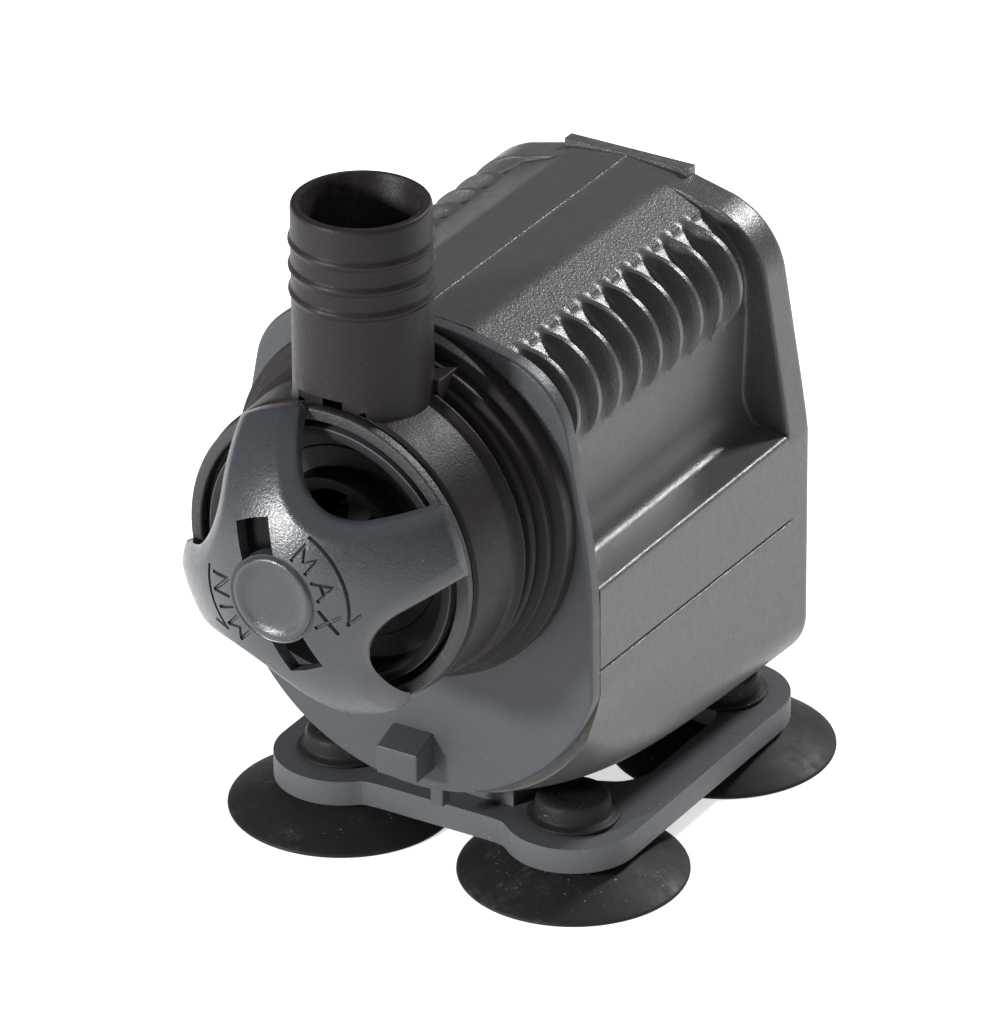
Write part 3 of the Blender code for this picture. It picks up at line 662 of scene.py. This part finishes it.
def make_intake():
    """Cover behind the dial, with its collar and four windows. All of it but the rim is near black: dark
    plastic with the cavity's shade painted in.
    """
    profile = [(0, 17.3), (4.2, 17.3), (4.2, 16.5), (10.0, 16.5), (10.0, 21.0), (11.6, 21.0)]
    profile += [(11.6, 16.9), (14.8, 16.9), (14.9, 16.6), (18.3, 16.6)]
    profile += [(18.7, 17.4), (18.7, 22.2), (20.2, 22.2), (20.2, 14.5), (4.2, 14.5), (4.2, 13.1)]
    profile += [(3.0, 13.1), (3.0, 16.3), (0, 16.3)]
    cover = turned(soften(profile, 0.2, 2), 180)
    steps = []
    for k in range(4):
        start = 20 + 90 * k - GRILLE_WINDOW_ANGLE / 2
        end = start + GRILLE_WINDOW_ANGLE
        outer_side = arc(0, 0, GRILLE_WINDOW_OUT, start, end, 24)
        inner_side = arc(0, 0, GRILLE_WINDOW_IN, end, start, 16)
        steps.append(("DIFFERENCE", prism(np.concatenate((outer_side, inner_side)), 13.8, 19.0)))
    # The rim keeps the plate's plastic, with its painted blue reflection.
    made = piece("intake_bezel", on_axis(carved(cover, steps)), "intake_cover", PLATE_PAINTED_BLUE_REFLECTION)
    made.data.materials.append(CAVITY_DARK_AND_SHADE)
    # Faces inside the rim get the near black, with the cavity's shade painted in.
    rim_r = 19.6
    for face in made.data.polygons:
        if math.hypot(face.center.x, face.center.z - AXIS_Z * MM) < rim_r * MM:
            face.material_index = 1
    return made


# ---- dial ----


def dome(radius, thick=0.0):
    """Station of the dome's surface at a radius, or of its inner side."""
    return DOME_TIP - DOME_R + np.sqrt((DOME_R - thick) ** 2 - radius**2)


def half_arm():
    """Half of one arm, from the middle of its opening to its own middle, with a face over its end."""
    middle = ARM_ANGLE + math.pi / 4
    centre = OPENING_OUT * np.array((math.cos(middle), math.sin(middle)))
    inward = -centre / OPENING_OUT
    sideways = np.array((-inward[1], inward[0]))
    cross, hub_share = 18, 0.34
    lips = np.linspace(0, math.pi / 2, 8)
    slope = math.asin((DOME_EDGE - 0.3) / DOME_R)
    top_r, low_r = DOME_EDGE - RIM_R * (1 - math.sin(slope)), ARM_INNER_R

    def edge_point(radius, s, reach):
        """A point at share s along the edge: round the opening's inner end, then straight to the rim."""
        bend = radius * STRAIGHT_FROM
        last = centre + radius * (math.cos(STRAIGHT_FROM) * inward + math.sin(STRAIGHT_FROM) * sideways)
        along = -math.sin(STRAIGHT_FROM) * inward + math.cos(STRAIGHT_FROM) * sideways
        ahead = last @ along
        straight = -ahead + math.sqrt(ahead**2 - last @ last + reach**2)
        gone = s * (bend + straight)
        if gone > bend:
            return last + along * (gone - bend)
        angle = gone / radius
        return centre + radius * (math.cos(angle) * inward + math.sin(angle) * sideways)

    def spine_point(s, reach):
        if s <= hub_share:
            return HUB_R, middle - (s / hub_share) * math.pi / 4
        return HUB_R + (s - hub_share) / (1 - hub_share) * (reach - HUB_R), ARM_ANGLE

    def crossing(start, s, reach):
        """Points from a point on the opening's edge to the arm's spine."""
        start_r, start_a = np.linalg.norm(start), math.atan2(start[1], start[0])
        end_r, end_a = spine_point(s, reach)
        part = np.linspace(0, 1, cross)
        return start_r + (end_r - start_r) * part, start_a + (end_a - start_a) * part

    rows = []
    for s in np.concatenate((np.linspace(0, hub_share, 16), np.linspace(hub_share, 1, 32)[1:])):
        row = []
        radius, angle = crossing(edge_point(OPENING_R, s, low_r), s, low_r)
        under = np.stack((radius * np.cos(angle), radius * np.sin(angle), dome(radius, DOME_THICK)), 1)
        row += list(under[::-1])
        for lip in lips[::-1]:
            point = edge_point(LIP_R - (LIP_R - OPENING_R) * math.sin(lip), s, top_r)
            drop = LIP_STEP * math.sin(lip) + LIP_ROLL * (1 - math.cos(lip))
            row.append(np.array((*point, dome(np.linalg.norm(point)) - drop)))
        radius, angle = crossing(edge_point(LIP_R, s, top_r), s, top_r)
        over = np.stack((radius * np.cos(angle), radius * np.sin(angle), dome(radius)), 1)
        row += list(over[1:])
        rows.append(np.array(row))
    last = rows[-1]
    angles = np.arctan2(last[:, 1], last[:, 0])
    for turn in np.linspace(slope, math.pi / 2, 6)[1:]:
        radius = np.full(len(last), top_r + RIM_R * (math.sin(turn) - math.sin(slope)))
        height = np.maximum(last[:, 2] - RIM_R * (math.cos(slope) - math.cos(turn)), ARM_FOOT + 0.05)
        radius[:cross] = low_r + 0.1 * (turn - slope)
        height[:cross] = last[:cross, 2] - 0.1 * (turn - slope)
        rows.append(np.column_stack((radius * np.cos(angles), radius * np.sin(angles), height)))
    radius = np.full(len(last), DOME_EDGE)
    radius[:cross] = low_r + 0.3
    foot = np.full(len(last), ARM_FOOT)
    rows.append(np.column_stack((radius * np.cos(angles), radius * np.sin(angles), foot)))
    points, faces = grid(rows, wrap_cols=False)
    faces.append(tuple(range(len(points) - len(last), len(points))))
    return points, faces


def hub(angles):
    """Rings inside the arms: the dished button with its rim, and the plain inner side."""
    groove, top = dome(HUB_R) - 0.2, DOME_TIP - 0.5
    over = [(6.75, groove), (6.6, groove), (6.45, top - 0.35), (6.25, top - 0.1), (5.95, top)]
    over += [(5.6, top - 0.04), (5.1, top - 0.3), (4.5, top - 0.52), (3.5, top - 0.58), (2.0, top - 0.6)]
    over.append((0.8, top - 0.61))
    under = [(5.0, dome(5.0, DOME_THICK)), (2.5, dome(2.5, DOME_THICK)), (0.8, dome(0.8, DOME_THICK))]
    around = np.stack((np.cos(angles), np.sin(angles)), 1)
    shapes = []
    for rings, edge in ((over, dome(HUB_R)), (under, dome(HUB_R, DOME_THICK))):
        rings = [(HUB_R, edge)] + rings
        rows = [np.column_stack((around * radius, np.full(len(angles), height))) for radius, height in rings]
        points, faces = grid(rows)
        faces.append(tuple(range(len(points) - len(angles), len(points))))
        shapes.append((points, faces))
    return merged(*shapes)


def flipped(shape, angle):
    """A shape mirrored in the plane through the axis at angle."""
    c, s = math.cos(2 * angle), math.sin(2 * angle)
    return shape[0] @ np.array([(c, s, 0), (s, -c, 0), (0, 0, 1)]), shape[1]


def stroke(points, width=0.72, depth=0.42):
    """Cutter for an engraved line through points given as (radius, angle in degrees)."""
    points = np.array(points, float)
    radius, angle = points[:, 0], np.radians(points[:, 1])
    flat = np.stack((radius * np.cos(angle), radius * np.sin(angle)), 1)
    along = np.gradient(flat, axis=0)
    along /= np.linalg.norm(along, axis=1)[:, None]
    side = np.stack((-along[:, 1], along[:, 0]), 1) * width / 2
    flat[0] -= along[0] * width * 0.3
    flat[-1] += along[-1] * width * 0.3
    loops = []
    for k in range(len(flat)):
        left, right = flat[k] - side[k], flat[k] + side[k]
        lowest = dome(np.linalg.norm(flat[k])) - depth
        top = lowest + depth + 0.6
        low_left, low_right = left * 0.7 + right * 0.3, left * 0.3 + right * 0.7
        high_left, high_right = left - side[k] * 0.3, right + side[k] * 0.3
        loop = [(*low_left, lowest), (*low_right, lowest), (*high_right, top), (*high_left, top)]
        loops.append(loop)
    return capped(loops)


def letter_strokes(letter, centre_r, angle, height=3.0, width=2.8):
    """Strokes of one plain capital whose top points away from the button, read clockwise."""
    lines = {
        "M": ["00 02", "02 11", "11 22", "22 20"],
        "A": ["00 12", "12 20", "51 71"],
        "X": ["00 22", "02 20"],
        "I": ["10 12"],
        "N": ["00 02", "02 20", "20 22"],
    }[letter]
    across_at = {"0": -0.5, "1": 0.0, "2": 0.5, "5": -0.27, "7": 0.27}
    up_at = {"0": -0.5, "1": -0.12, "2": 0.5}
    found = []
    for line in lines:
        ends = []
        for code in line.split():
            out = centre_r + up_at[code[1]] * height
            aside = across_at[code[0]] * width
            ends.append((math.hypot(out, aside), angle - math.degrees(math.atan2(aside, out))))
        found.append(stroke(ends))
    return found


def dial_marks():
    """The two words and the arrow beside each."""
    marks = []
    for word, start, step in (("MAX", 55.0, -33.0), ("MIN", 227.0, -22.5)):
        for k, letter in enumerate(word):
            marks += letter_strokes(letter, MARK_R, start + step * k)
    for start, end in ((63, -9), (172, 222)):
        line = [(ARROW_R, start + (end - start) * t) for t in np.linspace(0, 1, 16)]
        back = 8 if end < start else -8
        marks += [stroke(line), stroke([(ARROW_R, end), (ARROW_R + 1.5, end + back)])]
    return marks


def make_dial():
    """The domed cap: eight half arms round the hub, with two windows and its marks cut in."""
    half = half_arm()
    arms = []
    for k in range(4):
        arms += [moved(half, turn=k * math.pi / 2), moved(flipped(half, ARM_ANGLE), turn=k * math.pi / 2)]
    shape = merged(*arms, hub(np.linspace(0, 2 * math.pi, 8 * 15, endpoint=False) + ARM_ANGLE))
    outer_side = soften([(11.7, 2.9), (11.9, 0), (11.7, -2.9)], 0.3)
    window = prism(np.concatenate((arc(0, 0, 6.9, -24, 24, 10), outer_side)), 26, 45)
    steps = [("DIFFERENCE", moved(window, turn=ARM_ANGLE + k * math.pi / 2)) for k in (1, 3)]
    steps += [("DIFFERENCE", mark) for mark in dial_marks()]
    cap = carved(shape, steps, weld=True)
    return piece("flow_dial", on_axis(cap), "dial_cap", DIAL, "dial", sharp=40)


def make_dial_ring():
    profile = [(21.3, 21.0), (23.2, 21.0), (23.2, 22.3), (23.0, 22.6), (21.5, 22.6), (21.3, 22.4)]
    ring = turned(soften(profile, 0.15, 3, True), 220, True)
    return piece("dial_bezel", on_axis(ring), "dial_ring", RING, "dial")


# ---- base and feet ----


def base_outline():
    half = np.concatenate((
        path([(0, 5.5), (9.6, 5.5)], [6]),
        soften([(9.6, 5.5), (11.9, 5.3), (12.9, 4.6)], 0.8),
        arc(FOOT_X, FOOT_FRONT, LOBE_R, -131, 0, 40),
        arc(FOOT_X, FOOT_REAR, LOBE_R, 0, 128, 40),
        soften([(12.4, 63.6), (11.2, 63.4), (8.0, 63.4)], 0.8),
        [(0, 63.4)],
    ))
    return mirrored(half)


def base_opening():
    half = [(0, 20.5), (12.0, 20.5), (21.0, 24.5), (23.2, 28.0)]
    half += [(23.2, 49.0), (21.0, 51.5), (8.0, 53.5), (0, 53.5)]
    return mirrored(soften(half, 1.6, 5))


def feet():
    for end, foot_y in (("front", FOOT_FRONT), ("rear", FOOT_REAR)):
        for side, foot_x in (("left", -FOOT_X), ("right", FOOT_X)):
            yield f"{end}_{side}", foot_x, foot_y


def make_base():
    """Flat base with its opening, two pads for the block and a hole for each foot."""
    steps = [("DIFFERENCE", prism(base_opening(), 0, 20))]
    for low_y, high_y in ((10.0, 17.0), (56.0, 62.0)):
        steps.append(("UNION", block((-11, low_y, 7), (11, high_y, 12.9))))
    for _, foot_x, foot_y in feet():
        hole = turned([(0, 0), (3.6, 0), (3.6, 20), (0, 20)], 48)
        steps.append(("DIFFERENCE", moved(hole, (foot_x, foot_y, 0))))
    plate = rounded(carved(prism(base_outline(), BASE_LOW, BASE_HIGH), steps), 0.4, 3, 50)
    return piece("foot_plate", plate, "base_plate", BASE, sharp=40)


def make_cups():
    """Four suction feet, each with a dished underside, a skirt, a neck and a button."""
    profile = [(0, 2.9), (10.0, 1.9), (15.6, 0.12), (16.4, 0), (CUP_R - 0.1, 0), (CUP_R, 0.18)]
    profile.append((CUP_R - 0.05, 0.5))
    profile += [(16.3, 1.05), (14.6, 1.85), (12.4, 2.75), (10.0, 3.55), (8.0, 4.2), (6.6, 4.7), (3.3, 4.7)]
    profile += [(3.3, 9.3), (6.9, 9.3), (7.0, 9.75), (6.2, 10.0), (5.7, 10.25), (5.55, 12.1), (5.2, 12.75)]
    profile += [(4.4, BUTTON_TOP), (3.0, BUTTON_TOP), (2.5, 12.8), (0, 12.75)]
    for name, foot_x, foot_y in feet():
        cup = moved(turned(soften(profile, 0.35, 3), 120), (foot_x, foot_y, 0))
        piece(f"foot_{name}", cup, f"suction_cup_{name}", CUP, sharp=50)


# ---- pieces that stay as they are in the CAD model ----


def finish_inside():
    finishes = {
        "chamber_seal": (SEAL, "seal_rubber"),
        "rotor_well": (WELL, "well_plastic"),
        "rotor_shaft": (SHAFT, "shaft_ceramic"),
        "front_bush": (SEAL, "bush_rubber"),
        "rear_bush": (SEAL, "bush_rubber"),
        "rotor_sleeve": (NYLON, "impeller_plastic"),
        "rotor_magnet": (MAGNET, "magnet_ferrite"),
        "impeller": (IMPELLER, "impeller_plastic"),
        "stator_core": (CORE, "core_steel"),
        "coil_bobbin_left": (NYLON, "bobbin_nylon"),
        "coil_bobbin_right": (NYLON, "bobbin_nylon"),
        "coil_winding_left": (WINDING, "winding_copper"),
        "coil_winding_right": (WINDING, "winding_copper"),
        "resin_fill": (RESIN, "potting_resin"),
        # The shutter gets the same near black, with the shade inside the intake painted in.
        "dial_shutter": (CAVITY_DARK_AND_SHADE, "dial_plastic"),
    }
    for name, (material, slot) in finishes.items():
        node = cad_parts[name]
        node.data.materials.clear()
        node.data.materials.append(material)


# ---- studio ----


def make_floor():
    mesh = bpy.data.meshes.new("floor")
    corners = [(x * FLOOR_REACH, y * FLOOR_REACH, 0) for x, y in ((-1, -1), (1, -1), (1, 1), (-1, 1))]
    mesh.from_pydata(corners, [], [(0, 1, 2, 3)])
    floor = bpy.data.objects.new("floor", mesh)
    n = Nodes("floor_white")
    n.link(n.colours(n.noise(8, 2), (0.93, 0.93, 0.93), (0.95, 0.95, 0.95)), n.shader.inputs["Base Color"])
    n.shader.inputs["Roughness"].default_value = 0.9
    n.shader.inputs["Specular IOR Level"].default_value = 0.1
    n.shader.inputs["Emission Color"].default_value = (1, 1, 1, 1)
    n.shader.inputs["Emission Strength"].default_value = 0.63
    mesh.materials.append(n.material)
    bpy.context.scene.collection.objects.link(floor)


def area_light(name, towards, distance, size, power):
    """Soft box seen from the pump in the direction towards."""
    light = bpy.data.lights.new(name, "AREA")
    light.shape = "RECTANGLE"
    light.size, light.size_y = size
    light.energy = power
    holder = bpy.data.objects.new(name, light)
    direction = Vector(towards).normalized()
    holder.location = Vector((0, 0, 0.06)) + direction * distance
    holder.rotation_euler = direction.to_track_quat("Z", "Y").to_euler()
    bpy.context.scene.collection.objects.link(holder)


def make_lights():
    world = bpy.data.worlds.new("studio")
    world.use_nodes = True
    backdrop = world.node_tree.nodes["Background"]
    backdrop.inputs["Color"].default_value = (0.95, 0.97, 1.0, 1)
    backdrop.inputs["Strength"].default_value = 0.22
    bpy.context.scene.world = world
    area_light("back_key", (0.27, 0.757, 0.6), 0.9, (0.14, 0.1), 8.5)
    area_light("front_fill", (-0.42, -0.863, 0.28), 0.9, (0.12, 0.12), 10)
    area_light("overhead", (0.3, -0.2, 1.0), 1.0, (0.9, 0.9), 1.2)


def make_camera():
    """Long lens from the front right, looking down on the pump."""
    azimuth, elevation, roll = math.radians(31.13), math.radians(27.86), math.radians(-0.33)
    distance, focal_length, sensor = 1.419, 348.5, 36.0
    target = Vector((0.01543, FACE_Y * MM, 0.06361))
    flat = math.cos(elevation)
    back = Vector((math.sin(azimuth) * flat, -math.cos(azimuth) * flat, math.sin(elevation)))
    right = Vector((math.cos(azimuth), math.sin(azimuth), 0))
    up = back.cross(right)
    level = right * math.cos(roll) + up * math.sin(roll)
    upright = up * math.cos(roll) - right * math.sin(roll)
    data = bpy.data.cameras.new("camera")
    data.lens, data.sensor_width = focal_length, sensor
    data.clip_start, data.clip_end = 0.05, 20
    camera = bpy.data.objects.new("camera", data)
    facing = Matrix((level, upright, back)).transposed().to_4x4()
    camera.matrix_world = Matrix.Translation(target + back * distance) @ facing
    bpy.context.scene.collection.objects.link(camera)
    bpy.context.scene.camera = camera


make_housing()
make_rear_cover()
make_gland()
make_front_plate()
make_chamber()
make_intake()
make_dial()
make_dial_ring()
make_base()
make_cups()
finish_inside()
make_floor()
make_lights()
make_camera()
bpy.context.scene.view_settings.view_transform = "Standard"
